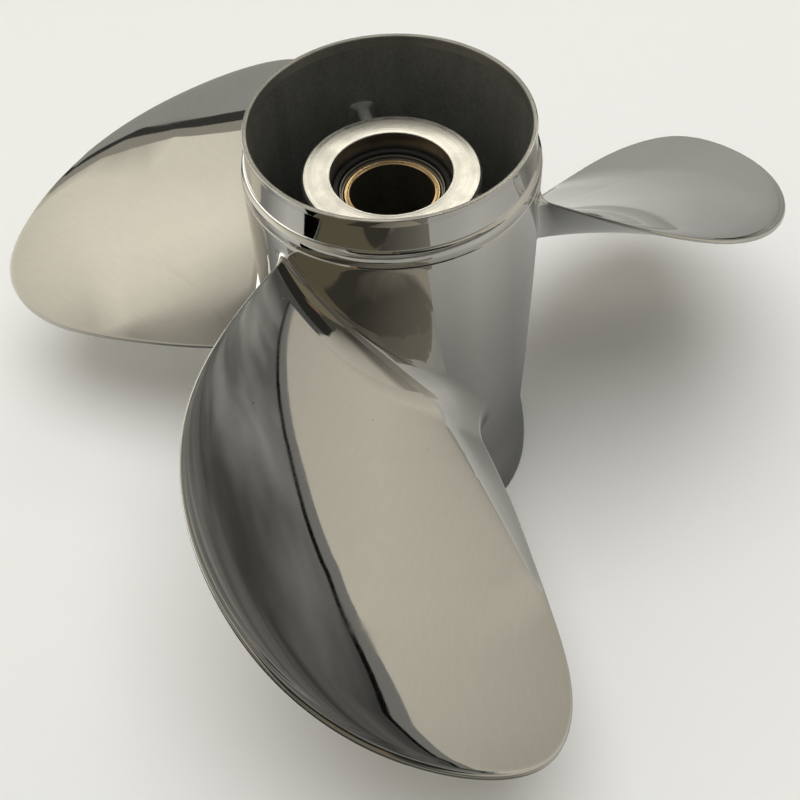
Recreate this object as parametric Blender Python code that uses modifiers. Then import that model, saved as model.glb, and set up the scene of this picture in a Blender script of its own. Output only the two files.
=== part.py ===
"""Three-blade outboard-style propeller with the exhaust led through its hub.

The shaft axis is +Z. The front, or gearcase, end is up and the flared aft end stands
on the ground plane, as in the photograph. All sizes are in metres.
"""
import math

import bmesh
import bpy
import numpy as np

MM = 0.001

# Barrel, the outer hub tube
HEIGHT = 0.1690
RIM_RADIUS = 0.0481
RIM_WALL = 0.0015
COLLAR_LENGTH = 0.0129
COLLAR_CONE = 0.0006
RIDGE_RADIUS = 0.0503
GROOVE_DEPTH = 0.0005
TAPER_HEIGHTS = (0.0, 0.0070, 0.0125, 0.0180, 0.0235, 0.0300, 0.0450, 0.0620, 0.0850, 0.1120, 0.1500)
TAPER_RADII = (0.0502, 0.0501, 0.0496, 0.0488, 0.0480, 0.0477, 0.0481, 0.0488, 0.0494, 0.0500, 0.0503)
BARREL_WALL = 0.0030
FLARE_OPENING = 0.0006
FLARE_HEIGHT = 0.0120
HUB_STEPS = 66

# Inner hub and the pieces pressed into its bore
INNER_HUB_RADIUS = 0.0307
INNER_HUB_BORE = 0.0209
INNER_HUB_CHAMFER = 0.0014
INNER_HUB_TOP = 0.1465
INNER_HUB_BOTTOM = 0.0400
RUBBER_RADIUS = 0.0206
RUBBER_BORE = 0.0186
RUBBER_TOP = 0.1400
CORE_RADIUS = 0.0183
CORE_BORE = 0.0169
CORE_TOP = 0.1388
SLEEVE_RADIUS = 0.0166
SLEEVE_BORE = 0.0145
SLEEVE_TOP = 0.1378
SLEEVE_BOTTOM = 0.0440
RING_STEPS = 48

# Ribs between the inner hub and the barrel
RIB_ANGLE = 98.5
RIB_THICKNESS = 0.0050
RIB_TOP = 0.1417
RIB_BOTTOM = 0.0460
RIB_FILLET = 0.0020
RIB_FLARE = 0.0048
RIB_LEVELS = 7

# Blades: the outline runs from the leading root at u = -1 over the tip to the trailing root at 1
TIP_RADIUS = 0.1748
ROOT_RADIUS = 0.0464
EDGE_ANGLES = (38.0, 32.1, 16.4, -0.5, -15.2, -23.1, -28.1, -31.9, -38.8)
EDGE_HALF_THICKNESS = (0.5, 0.7, 1.4, 2.2, 1.9, 1.3, 1.1, 1.0, 1.0)
OUTLINE_STEPS = 801
CORNER = 0.42
BLADE_ANGLE = -101.74
BLADE_MIDDLE = 0.0953
PITCH = 0.4064
PITCH_RADIUS = 0.0957
PITCH_GROWTH = 0.313
RAKE = 0.2307
RAKE_CURVE = -0.025
RAKE_LIFT = 6.85
CAMBER = 0.0168
FRONT_BULGE = 0.0065
BACK_BULGE = 0.0015
THINNING = 0.55
FILLET = 0.0075
CUP_WIDTH = 0.0258
CUP_SLOPE = 0.36
CUP_RUN = 0.741
CUP_SOFTNESS = 0.0035
FILLET_ROWS = 5
BLADE_ROWS = 21
BLADE_COLUMNS = 18
FOOT_ROWS = 3
EDGE_ROLLS = (45.0, 0.0, -45.0)

# Clearance left between pieces that touch
GAP = 0.0003


def clear_scene():
    for item in list(bpy.data.objects):
        bpy.data.objects.remove(item, do_unlink=True)


def material(name, colour, metallic, roughness):
    item = bpy.data.materials.new(name)
    item.use_nodes = True
    shader = item.node_tree.nodes["Principled BSDF"]
    shader.inputs["Base Color"].default_value = (*colour, 1.0)
    shader.inputs["Metallic"].default_value = metallic
    shader.inputs["Roughness"].default_value = roughness
    return item


def add_object(name, mesh, collection, surface):
    item = bpy.data.objects.new(name, mesh)
    collection.objects.link(item)
    mesh.materials.append(surface)
    return item


def closed_mesh(name, points, faces):
    """A mesh from points and faces, with every face turned outwards."""
    mesh = bpy.data.meshes.new(name)
    mesh.from_pydata(points, [], faces)
    build = bmesh.new()
    build.from_mesh(mesh)
    bmesh.ops.recalc_face_normals(build, faces=build.faces)
    build.to_mesh(mesh)
    build.free()
    return mesh


def natural_spline(knots, values, place):
    """Natural cubic spline. The bends at the knots solve the usual three-band system."""
    knots = np.asarray(knots, float)
    values = np.asarray(values, float)
    count = len(knots)
    step = np.diff(knots)
    system = np.eye(count)
    right = np.zeros(count)
    inner = np.arange(1, count - 1)
    system[inner, inner - 1] = step[:-1]
    system[inner, inner] = 2.0 * (step[:-1] + step[1:])
    system[inner, inner + 1] = step[1:]
    right[inner] = 6.0 * np.diff(np.diff(values) / step)
    bend = np.linalg.solve(system, right)
    i = np.clip(np.searchsorted(knots, place) - 1, 0, count - 2)
    b = (place - knots[i]) / step[i]
    a = 1.0 - b
    curve = (a ** 3 - a) * bend[i] + (b ** 3 - b) * bend[i + 1]
    return a * values[i] + b * values[i + 1] + curve * step[i] ** 2 / 6.0


def smooth_step(x):
    """0 below 0, 1 above 1, and 3x^2 - 2x^3 between."""
    x = np.clip(x, 0.0, 1.0)
    return x * x * (3.0 - 2.0 * x)


def fillet_share(x):
    """How far a quarter-round fillet stands out at x fillet radii from the wall."""
    x = np.clip(x, 0.0, 1.0)
    return 1.0 - np.sqrt(np.clip(2.0 * x - x * x, 0.0, 1.0))


def taper_radius(height):
    """Outside radius of the barrel between its ridge and its flared rim."""
    return natural_spline(TAPER_HEIGHTS, TAPER_RADII, np.clip(height, 0.0, TAPER_HEIGHTS[-1]))


def barrel_outside():
    """The barrel's outer outline as (radius, height), from the front rim down to the flare."""
    collar = HEIGHT - COLLAR_LENGTH
    outline = [
        (RIM_RADIUS, HEIGHT),
        (RIM_RADIUS, HEIGHT - 2.5 * MM),
        (RIM_RADIUS + COLLAR_CONE, collar),
        (RIDGE_RADIUS - 0.3 * MM, collar - 0.8 * MM),
        (RIDGE_RADIUS, collar - 2.7 * MM),
        (RIDGE_RADIUS, collar - 4.8 * MM),
        (RIDGE_RADIUS - GROOVE_DEPTH, collar - 5.2 * MM),
        (RIDGE_RADIUS, collar - 5.6 * MM),
    ]
    for height in (*np.linspace(collar - 6.8 * MM, 0.030, 8), *np.linspace(0.025, 0.0, 7)):
        outline.append((float(taper_radius(height)), float(height)))
    return outline


def barrel_inside():
    """The barrel's inner outline as (radius, height), from the flare up to the front rim."""
    straight = RIM_RADIUS - RIM_WALL
    outline = []
    for height in (*np.linspace(0.0, 0.030, 7), *np.linspace(0.045, 0.105, 5)):
        radius = min(straight, float(taper_radius(height)) - BARREL_WALL)
        opening = FLARE_OPENING * float(smooth_step(1.0 - height / FLARE_HEIGHT))
        outline.append((radius + opening, float(height)))
    outline.append((straight, HEIGHT))
    return outline


def turned(name, profile, collection, surface, steps=HUB_STEPS):
    """A closed (radius, height) profile, turned round the shaft axis with a Screw modifier."""
    mesh = bpy.data.meshes.new(name)
    points = [(radius, 0.0, height) for radius, height in profile]
    edges = [(i, (i + 1) % len(points)) for i in range(len(points))]
    mesh.from_pydata(points, edges, [])
    item = add_object(name, mesh, collection, surface)
    screw = item.modifiers.new("Turn", "SCREW")
    screw.axis = "Z"
    screw.steps = steps
    screw.render_steps = steps
    screw.use_merge_vertices = True
    screw.merge_threshold = 0.00001
    return item


def rib_section(outer):
    """A rib's plan outline: a plate that flares by a quarter round at the hub and the wall."""
    inner = INNER_HUB_RADIUS + GAP
    hub_side = inner + RIB_FILLET * np.array([0.0, 0.15, 0.5, 1.0])
    wall_side = outer - RIB_FLARE * np.array([1.0, 0.6, 0.3, 0.1, 0.0])
    distance = np.concatenate([hub_side, wall_side])
    half = 0.5 * RIB_THICKNESS + RIB_FILLET * fillet_share((distance - inner) / RIB_FILLET)
    half = half + RIB_FLARE * fillet_share((outer - distance) / RIB_FLARE)
    along = distance.copy()
    along[0] = math.sqrt(inner ** 2 - half[0] ** 2)
    along[-1] = math.sqrt(outer ** 2 - half[-1] ** 2)
    there = list(zip(along, half))
    back = [(x, -y) for x, y in reversed(there)]
    return [(inner, 0.0), *there, (outer, 0.0), *back]


def rib(name, angle, collection, surface):
    """Plan outlines at several heights, each as long as the barrel's bore leaves room for."""
    wall = barrel_inside()
    points = []
    for height in np.linspace(RIB_BOTTOM, RIB_TOP, RIB_LEVELS):
        outer = float(np.interp(height, [h for _, h in wall], [r for r, _ in wall])) - GAP
        section = rib_section(outer * math.cos(math.pi / HUB_STEPS))
        points += [(x, y, float(height)) for x, y in section]
    size = len(section)
    faces = [tuple(range(size)), tuple(range(len(points) - size, len(points)))]
    for level in range(RIB_LEVELS - 1):
        for i in range(size):
            a = level * size + i
            b = level * size + (i + 1) % size
            faces.append((a, b, b + size, a + size))
    item = add_object(name, closed_mesh(name, points, faces), collection, surface)
    item.rotation_euler.z = math.radians(angle)
    return item


def blade_lead(radius):
    """Height gained for each radian of turn, from the pitch at this radius."""
    return (PITCH + PITCH_GROWTH * (radius - PITCH_RADIUS)) / (2.0 * math.pi)


def blade_height(radius, turn):
    """Height of the blade's middle surface: a screw, raked aft outwards and cambered."""
    out = radius - ROOT_RADIUS
    fall = RAKE * out - RAKE_CURVE * out ** 2 - RAKE_LIFT * out ** 3
    return BLADE_MIDDLE + blade_lead(radius) * turn - fall + CAMBER * turn * turn


def blade_place(radius, turn, lift, along=0.0, across=0.0, outward=0.0):
    """Radius, angle and height of a point that lies along the chord, across it in the
    cylinder and outward from a place on the middle surface."""
    slope = blade_lead(radius) + 2.0 * CAMBER * turn
    chord = np.hypot(slope, radius)
    out = radius - ROOT_RADIUS
    fall = 2.0 * RAKE_CURVE * out + 3.0 * RAKE_LIFT * out ** 2 - RAKE
    fall = fall + PITCH_GROWTH * turn / (2.0 * math.pi)
    height = blade_height(radius, turn) + lift + fall * outward
    height = height + (along * slope + across * radius) / chord
    around = turn + (along - across * slope / radius) / chord
    return radius + outward, -around, height


def outline_edge():
    """The blade's edge, held back by its own half thickness so that a round rim fits it."""
    u = np.linspace(-1.0, 1.0, OUTLINE_STEPS)
    knots = np.linspace(-1.0, 1.0, len(EDGE_ANGLES))
    turn = np.radians(natural_spline(knots, EDGE_ANGLES, u))
    radius = TIP_RADIUS - (TIP_RADIUS - ROOT_RADIUS) * u * u
    half = natural_spline(knots, EDGE_HALF_THICKNESS, u) * MM
    chord = np.hypot(blade_lead(radius) + 2.0 * CAMBER * turn, radius)
    run = np.gradient(turn, u) * chord
    rise = np.gradient(radius, u)
    size = np.hypot(run, rise)
    out_turn = rise / size
    out_radius = -run / size
    return u, turn - out_turn * half / chord, radius - out_radius * half, out_turn, out_radius, half


def cup_lift(from_edge, t, s):
    """The trailing edge bends aft over the cup's width, which runs out towards the tip."""
    left = np.clip(1.0 - t / CUP_RUN, 0.0, 1.0)
    width = CUP_WIDTH * left
    soft = 0.3 * MM + CUP_SOFTNESS * left

    def drop(distance):
        return CUP_SLOPE * soft * np.logaddexp(0.0, (width - distance) / soft)

    present = smooth_step((1.0 - t / CUP_RUN) / 0.25)
    return present * (drop(0.0) * s ** 3 - drop(from_edge))


def in_space(radius, angle, height):
    return np.stack([radius * np.cos(angle), radius * np.sin(angle), height], axis=-1)


def blade_surface():
    """Points of the front face, the back face and the rounded edge between them.

    Each face is a Coons patch: a blend of four border curves, the root just clear of the
    barrel, the two edges and the tip. It flares to the barrel by a quarter round."""
    outline = barrel_outside()[::-1]
    heights = [h for _, h in outline]
    radii = [r for r, _ in outline]

    def barrel(height):
        return np.interp(height, heights, radii)

    u, edge_turn, edge_radius, out_turn, out_radius, half = outline_edge()
    gap = edge_radius - barrel(blade_height(edge_radius, edge_turn))
    lead_side = u < 0.0
    lead_root = np.interp(0.0, gap[lead_side], u[lead_side])
    trail_root = np.interp(0.0, gap[~lead_side][::-1], u[~lead_side][::-1])

    def on_edge(values, place):
        return np.interp(place, u, values)

    near = 1.4 * FILLET * (1.0 - np.cos(np.linspace(0.0, 0.5 * math.pi, FILLET_ROWS)))
    span = on_edge(edge_radius, -CORNER) - on_edge(edge_radius, lead_root)
    far = np.linspace(near[-1], span, BLADE_ROWS - FILLET_ROWS + 1)[1:]
    t = np.concatenate([near, far]) / span
    s = 0.5 - 0.5 * np.cos(math.pi * np.linspace(0.0, 1.0, BLADE_COLUMNS))
    lead_radius = on_edge(edge_radius, lead_root) + t * span
    trail_span = on_edge(edge_radius, CORNER) - on_edge(edge_radius, trail_root)
    trail_radius = on_edge(edge_radius, trail_root) + t * trail_span
    lead_u = np.interp(lead_radius, edge_radius[lead_side], u[lead_side])
    trail_u = np.interp(trail_radius, edge_radius[~lead_side][::-1], u[~lead_side][::-1])
    tip_u = CORNER * (2.0 * s - 1.0)
    root_turn = on_edge(edge_turn, lead_root) * (1.0 - s) + on_edge(edge_turn, trail_root) * s
    root_radius = np.full_like(s, ROOT_RADIUS)
    for _ in range(12):
        root_radius = barrel(blade_height(root_radius, root_turn))
    t, s = t[:, None], s[None, :]

    def coons(root, lead, trail, tip):
        sides = (1.0 - t) * root + t * tip + (1.0 - s) * lead[:, None] + s * trail[:, None]
        corners = (1.0 - t) * ((1.0 - s) * root[0] + s * root[-1])
        corners = corners + t * ((1.0 - s) * tip[0] + s * tip[-1])
        return sides - corners

    lead_turn = on_edge(edge_turn, lead_u)
    trail_turn = on_edge(edge_turn, trail_u)
    turn = coons(root_turn, lead_turn, trail_turn, on_edge(edge_turn, tip_u))
    radius = coons(root_radius, on_edge(edge_radius, lead_u), on_edge(edge_radius, trail_u),
                   on_edge(edge_radius, tip_u))
    lead_half = on_edge(half, lead_u)
    trail_half = on_edge(half, trail_u)
    root_half = lead_half[0] * (1.0 - s[0]) + trail_half[0] * s[0]
    rim_half = coons(root_half, lead_half, trail_half, on_edge(half, tip_u))
    chord = (lead_turn - trail_turn)[:, None] * np.hypot(blade_lead(radius), radius)
    lift = cup_lift((1.0 - s) * chord, t, s)
    belly = (1.0 - THINNING * t) * (1.0 - t ** 4) * np.sin(math.pi * s)
    clear = np.maximum(radius - barrel(blade_height(radius, turn)), GAP)
    clear[0] = GAP
    ends = 0.5 + 0.8 * s

    def seated(reach, height, clear):
        """Keeps the clearance of a point that the flare moved along the barrel."""
        hold = np.exp((GAP - clear) / (3.0 * FILLET))
        return reach + (barrel(height) + clear - reach) * hold

    def face(side, bulge, middle):
        rounding = FILLET * (ends + (middle - ends) * np.sin(math.pi * s))
        flare = rounding * fillet_share(clear / rounding)
        across = side * (rim_half + bulge * belly + flare)
        reach, around, height = blade_place(radius, turn, lift, across=across)
        return in_space(seated(reach, height, clear), around, height)

    front = face(1.0, FRONT_BULGE, 1.3)
    back = face(-1.0, BACK_BULGE, 1.0)

    rim_u = np.concatenate([lead_u, tip_u[1:-1], trail_u[::-1]])
    rim_clear = np.concatenate([clear[:, 0], clear[-1, 1:-1], clear[::-1, -1]])
    rim_half = on_edge(half, rim_u)
    rounding = FILLET * np.where(rim_u < 0.0, ends[0, 0], ends[0, -1])
    flare = rounding * fillet_share(rim_clear / rounding)
    way = on_edge(out_turn, rim_u)
    roll = np.radians(EDGE_ROLLS)[:, None]
    outward = on_edge(out_radius, rim_u) * rim_half * smooth_step((rim_clear - GAP) / (2.0 * MM))
    outward = outward * np.cos(roll)
    reach, around, height = blade_place(
        on_edge(edge_radius, rim_u), on_edge(edge_turn, rim_u), 0.0,
        along=(way * rim_half + np.sign(way) * flare) * np.cos(roll),
        across=(rim_half + flare) * np.sin(roll),
        outward=outward)
    rim = in_space(seated(reach, height, rim_clear + outward), around, height)
    return front, back, rim, barrel


def blade_foot(front_row, back_row, barrel):
    """Rows of points between the two faces at the root, just clear of the barrel."""
    share = np.linspace(0.0, 1.0, FOOT_ROWS + 2)[1:-1, None]
    height = front_row[:, 2] * (1.0 - share) + back_row[:, 2] * share
    start = np.arctan2(front_row[:, 1], front_row[:, 0])
    end = np.arctan2(back_row[:, 1], back_row[:, 0])
    return in_space(barrel(height) + GAP, start * (1.0 - share) + end * share, height)


def end_middle(ring, barrel):
    """The middle of the foot's rounded end, just clear of the barrel."""
    height = ring[:, 2].mean()
    middle = ring.mean(axis=0)
    angle = math.atan2(middle[1], middle[0])
    return in_space(barrel(height) + GAP, angle, height)


def quads(index):
    corners = (index[:-1, :-1], index[:-1, 1:], index[1:, 1:], index[1:, :-1])
    return np.stack(corners, axis=-1).reshape(-1, 4).tolist()


def blade_mesh(name):
    """The front and back faces, the edge between them and the foot, in one closed body."""
    front, back, rim, barrel = blade_surface()
    foot = blade_foot(front[0], back[0], barrel)
    points = []
    sheets = []
    for sheet in (front, back, rim, foot):
        sheets.append(np.arange(sheet[..., 0].size).reshape(sheet.shape[:2]) + len(points))
        points += sheet.reshape(-1, 3).tolist()
    front, back, rim, foot = sheets

    def border(index):
        return np.concatenate([index[:, 0], index[-1, 1:-1], index[::-1, -1]])

    faces = quads(front) + quads(back)
    faces += quads(np.column_stack([border(front), *rim, border(back)]))
    sole = np.concatenate([front[:1], foot, back[:1]])
    faces += quads(sole)
    for end in (0, -1):
        ring = [*sole[:, end].tolist(), *rim[::-1, end].tolist()]
        middle = len(points)
        points.append(end_middle(np.array([points[i] for i in ring]), barrel).tolist())
        faces += [[a, b, middle] for a, b in zip(ring, ring[1:] + ring[:1])]
    return closed_mesh(name, points, faces)


def main():
    clear_scene()
    parts = bpy.data.collections.new("propeller")
    bpy.context.scene.collection.children.link(parts)
    polished = material("polished_steel", (0.62, 0.60, 0.56), 1.0, 0.14)
    machined = material("machined_steel", (0.72, 0.70, 0.66), 1.0, 0.28)
    bronze = material("bronze", (0.72, 0.52, 0.30), 1.0, 0.30)
    rubber = material("rubber", (0.03, 0.03, 0.03), 0.0, 0.60)

    turned("barrel", barrel_outside() + barrel_inside(), parts, polished)
    inner = [
        (INNER_HUB_RADIUS - INNER_HUB_CHAMFER, INNER_HUB_TOP),
        (INNER_HUB_RADIUS, INNER_HUB_TOP - INNER_HUB_CHAMFER),
        (INNER_HUB_RADIUS, INNER_HUB_BOTTOM + INNER_HUB_CHAMFER),
        (INNER_HUB_RADIUS - INNER_HUB_CHAMFER, INNER_HUB_BOTTOM),
        (INNER_HUB_BORE, INNER_HUB_BOTTOM),
        (INNER_HUB_BORE, INNER_HUB_TOP),
    ]
    turned("inner_hub", inner, parts, machined)
    rings = (
        ("rubber_bush", RUBBER_RADIUS, RUBBER_BORE, RUBBER_TOP, INNER_HUB_BOTTOM + 0.0060, rubber),
        ("bush_core", CORE_RADIUS, CORE_BORE, CORE_TOP, INNER_HUB_BOTTOM + 0.0050, machined),
        ("shaft_sleeve", SLEEVE_RADIUS, SLEEVE_BORE, SLEEVE_TOP, SLEEVE_BOTTOM, bronze),
    )
    for name, outside, bore, top, bottom, surface in rings:
        ring = [(outside, top), (outside, bottom), (bore, bottom), (bore, top)]
        turned(name, ring, parts, surface, RING_STEPS)
    for number in range(3):
        turn = 120.0 * number
        rib(f"rib_{number + 1}", RIB_ANGLE + turn, parts, polished)
        name = f"blade_{number + 1}"
        blade = add_object(name, blade_mesh(name), parts, polished)
        blade.rotation_euler.z = math.radians(BLADE_ANGLE + turn)


main()
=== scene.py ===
"""A polished stainless outboard propeller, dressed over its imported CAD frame.

The turned pieces are profiles carried round the shaft axis, and each blade is one closed
surface: two faces over the blade's outline, a rounded edge between them and a fillet that
runs out on the barrel. Sizes are in metres and +Z is the shaft axis, front end up.
"""
import math

import bpy
import numpy as np
from mathutils import Matrix, Vector


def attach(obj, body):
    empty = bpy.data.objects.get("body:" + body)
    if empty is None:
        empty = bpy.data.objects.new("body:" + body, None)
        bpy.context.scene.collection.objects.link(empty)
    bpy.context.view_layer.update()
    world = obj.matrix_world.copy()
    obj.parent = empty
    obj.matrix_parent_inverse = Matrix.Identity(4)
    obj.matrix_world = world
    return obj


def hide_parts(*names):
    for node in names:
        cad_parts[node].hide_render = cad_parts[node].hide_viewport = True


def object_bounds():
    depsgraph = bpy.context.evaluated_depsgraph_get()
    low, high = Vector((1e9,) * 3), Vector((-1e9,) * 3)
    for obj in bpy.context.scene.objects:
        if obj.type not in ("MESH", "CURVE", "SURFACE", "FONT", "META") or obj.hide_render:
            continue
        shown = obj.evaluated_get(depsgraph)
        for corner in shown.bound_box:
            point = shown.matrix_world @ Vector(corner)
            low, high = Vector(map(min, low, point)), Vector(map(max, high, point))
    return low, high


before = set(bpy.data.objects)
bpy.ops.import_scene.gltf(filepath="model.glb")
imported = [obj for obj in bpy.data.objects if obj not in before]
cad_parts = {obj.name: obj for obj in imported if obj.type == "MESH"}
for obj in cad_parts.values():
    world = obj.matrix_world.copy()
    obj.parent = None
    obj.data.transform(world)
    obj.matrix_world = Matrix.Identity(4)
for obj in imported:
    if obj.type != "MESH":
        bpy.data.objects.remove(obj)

CAD_LOW, CAD_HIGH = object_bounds()

bl_info = {
    "name": "Outboard Propeller Dresser",
    "version": (1, 0, 0),
    "blender": (4, 5, 0),
    "location": "3D View > Sidebar > Propeller",
    "description": "Builds the polished pieces of a three-blade propeller with exhaust through its hub",
    "category": "Object",
}

MM = 0.001
BLADE_COUNT = 3
BLADE_STEP = math.radians(120.0)
FIT_GAP = 0.3 * MM


# Shapes worked out as whole arrays

def natural_spline(knots, values, place):
    """Natural cubic spline. The bends at the knots solve the usual three-band system, and
    each span is the cubic that its two end values and end bends give."""
    knots = np.asarray(knots, float)
    values = np.asarray(values, float)
    count = len(knots)
    step = np.diff(knots)
    system = np.eye(count)
    right = np.zeros(count)
    inner = np.arange(1, count - 1)
    system[inner, inner - 1] = step[:-1]
    system[inner, inner] = 2.0 * (step[:-1] + step[1:])
    system[inner, inner + 1] = step[1:]
    right[inner] = 6.0 * np.diff(np.diff(values) / step)
    bend = np.linalg.solve(system, right)
    i = np.clip(np.searchsorted(knots, place) - 1, 0, count - 2)
    b = (place - knots[i]) / step[i]
    a = 1.0 - b
    curve = (a ** 3 - a) * bend[i] + (b ** 3 - b) * bend[i + 1]
    return a * values[i] + b * values[i + 1] + curve * step[i] ** 2 / 6.0


def smooth_step(x):
    """0 below 0, 1 above 1, and 3x^2 - 2x^3 between."""
    x = np.clip(x, 0.0, 1.0)
    return x * x * (3.0 - 2.0 * x)


def axis_points(radius, angle, height):
    """Points round the shaft axis: x = r cos a, y = r sin a."""
    radius, angle, height = np.broadcast_arrays(radius, angle, height)
    return np.stack([radius * np.cos(angle), radius * np.sin(angle), height], axis=-1)


def rounded_outline(corners, steps=5):
    """A closed outline in (radius, height). Each corner (r, z, fillet) is cut by an arc of
    that fillet: it starts and ends fillet / tan(half the corner's angle) from the corner."""
    corners = np.array(corners, float)
    places = corners[:, :2]
    t = np.linspace(0.0, 1.0, steps + 1)[:, None]
    points = []
    for i, here in enumerate(places):
        fillet = corners[i, 2]
        if fillet <= 0.0:
            points.append(here[None])
            continue
        back = places[i - 1] - here
        ahead = places[(i + 1) % len(places)] - here
        back /= np.linalg.norm(back)
        ahead /= np.linalg.norm(ahead)
        half = 0.5 * math.acos(np.clip(back @ ahead, -1.0, 1.0))
        start = here + back * fillet / math.tan(half)
        middle = here + (back + ahead) / np.linalg.norm(back + ahead) * fillet / math.sin(half)
        end = here + ahead * fillet / math.tan(half)
        chord = (start - middle) * (1.0 - t) + (end - middle) * t
        points.append(middle + chord / np.linalg.norm(chord, axis=1)[:, None] * fillet)
    return np.concatenate(points)


def quads(index):
    """The quads between the neighbours of a grid of corner numbers."""
    corners = (index[:-1, :-1], index[:-1, 1:], index[1:, 1:], index[1:, :-1])
    return np.stack(corners, axis=-1).reshape(-1, 4)


def grid_faces(rows, columns, wrap_rows=0, wrap_columns=0):
    """The quads of a rows x columns grid of points. Where wrap is 1, the last row or column
    is joined to the first."""
    index = np.arange(rows * columns).reshape(rows, columns)
    return quads(np.pad(index, ((0, wrap_rows), (0, wrap_columns)), mode="wrap"))


def add_object(name, data):
    added = bpy.data.objects.new(name, data)
    bpy.context.scene.collection.objects.link(added)
    return added


def add_mesh(name, points, faces, material):
    mesh = bpy.data.meshes.new(name)
    mesh.from_pydata(points, [], faces)
    mesh.materials.append(material)
    return add_object(name, mesh)


def add_piece(name, points, faces, material, node):
    """Puts the arrays into a mesh, smooth shaded, as a piece that rides on the root body."""
    piece = add_mesh(name, points, faces, material)
    piece.data.validate()
    piece.data.shade_smooth()
    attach(piece, "root")
    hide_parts(node)
    return piece


def turned(name, outline, segments, material, node, slot):
    """A closed outline (r, z), listed top to bottom on the outside, carried round the shaft
    axis."""
    angle = np.linspace(0.0, 2.0 * math.pi, segments, endpoint=False)
    points = axis_points(outline[:, :1], angle, outline[:, 1:]).reshape(-1, 3)
    faces = grid_faces(len(outline), segments, 1, 1)[:, ::-1].tolist()
    return add_piece(name, points, faces, material, node)


# The barrel's outline

BARREL_HEIGHTS = (0.0, 0.0070, 0.0125, 0.0180, 0.0235, 0.0300, 0.0450, 0.0620, 0.0850, 0.1120, 0.1500)
BARREL_RADII = (0.0502, 0.0501, 0.0496, 0.0488, 0.0480, 0.0477, 0.0481, 0.0488, 0.0494, 0.0500, 0.0503)
TAPER_STEPS = 80
BORE_STEPS = 44
FLARE_OPENING = 0.6 * MM
FLARE_HEIGHT = 12.0 * MM


def barrel_radius(height):
    """Outside radius between the ridge and the flared rim: a spline through the places
    measured along the silhouette."""
    place = np.clip(height, BARREL_HEIGHTS[0], BARREL_HEIGHTS[-1])
    return natural_spline(BARREL_HEIGHTS, BARREL_RADII, place)


def barrel_bore(sizes, height):
    """Inside radius: straight from the front rim, then the outside less the wall, whichever
    is smaller, and slightly opened at the flare."""
    straight = sizes.rim_radius - sizes.rim_wall
    opened = FLARE_OPENING * smooth_step(1.0 - height / FLARE_HEIGHT)
    return np.minimum(straight, barrel_radius(height) - sizes.wall) + opened


def barrel_outline(sizes):
    """Front rim, slightly coned collar that runs out in a cove, ridge with a fine groove
    under it and the long taper down to the flare on the outside, then the cast inside wall
    back up to the rim. Also says how many of the points are on the outside."""
    top = sizes.height
    rim = sizes.rim_radius
    collar = top - sizes.collar_length
    ridge = sizes.ridge_radius
    outside = [
        (rim + 0.1 * MM, top, 0.3 * MM),
        (rim, top - 2.5 * MM, 2.0 * MM),
        (rim + 0.6 * MM, collar, 2.2 * MM),
        (ridge - 0.25 * MM, collar - 0.8 * MM, 0.35 * MM),
        (ridge + 0.05 * MM, collar - 2.7 * MM, 2.0 * MM),
        (ridge - 0.05 * MM, collar - 4.8 * MM, 0.25 * MM),
        (ridge - 0.5 * MM, collar - 5.15 * MM, 0.15 * MM),
        (ridge - 0.05 * MM, collar - 5.6 * MM, 0.25 * MM),
    ]
    taper = np.linspace(collar - 6.8 * MM, 1.2 * MM, TAPER_STEPS)
    outside += [(barrel_radius(z), z, 0.0) for z in taper]
    outside.append((barrel_radius(0.0), 0.0, 0.5 * MM))
    inside = [(barrel_bore(sizes, 0.0), 0.0, 0.5 * MM)]
    bore = np.linspace(1.5 * MM, top - 4.0 * MM, BORE_STEPS)
    inside += [(barrel_bore(sizes, z), z, 0.0) for z in bore]
    inside.append((rim - sizes.rim_wall, top, 0.4 * MM))
    return rounded_outline(outside + inside), len(rounded_outline(outside))


# The blade, on its outline. From the leading root over the tip to the trailing root, the
# edge's angles are in degrees and its half thicknesses in millimetres. CORNER is the
# outline's u where a face's edge ends and its tip starts, and COLUMN_EASE keeps the columns
# along both edges from getting too narrow.

EDGE_ANGLES = (38.0, 32.1, 16.4, -0.5, -15.2, -23.1, -28.1, -31.9, -38.8)
EDGE_HALF_THICKNESS = (0.5, 0.7, 1.4, 2.2, 1.9, 1.3, 1.1, 1.0, 1.0)
OUTLINE_STEPS = 1601
BLADE_ROWS = 130
BLADE_COLUMNS = 120
COLUMN_EASE = 0.06
RIM_STEPS = 14
RIM_EASE = 2.0 * MM
ROOT_PASSES = 12
CORNER = 0.42

# The roll-over on the leading edge, in the outline's u: how far the leading edge reaches,
# and where the roll-over grows and declines. Every fourth point of the edge is enough for it.
LEADING_END = 0.1
NOSE_START, NOSE_GROWTH = -1.00, 0.55
NOSE_END, NOSE_DECLINE = 0.02, 0.45
NOSE_SKIP = 4

# The cup's least softness, and the share of its run over which it dies out
CUP_FIRMNESS = 0.3 * MM
CUP_DECLINE = 0.25

# The fillet in shares of its setting: at either edge and on either face, the reach of the
# close rows along the root, and the height over which it keeps to the barrel
LEAD_FILLET, TRAIL_FILLET = 0.5, 1.3
FRONT_FILLET, BACK_FILLET = 1.3, 1.0
FILLET_REACH = 1.4
FILLET_HOLD = 3.0
FILLET_ROWS = 17

# Reach and depth of each ring of the lip that sinks into the barrel, in millimetres
ROOT_LIPS = ((0.6, 0.02), (1.2, 0.10), (1.8, 0.40))


def blade_lead(blade, radius):
    """Height gained for each radian of turn, from the pitch at this radius."""
    pitch = blade.pitch + blade.pitch_growth * (radius - blade.pitch_radius)
    return pitch / (2.0 * math.pi)


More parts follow.
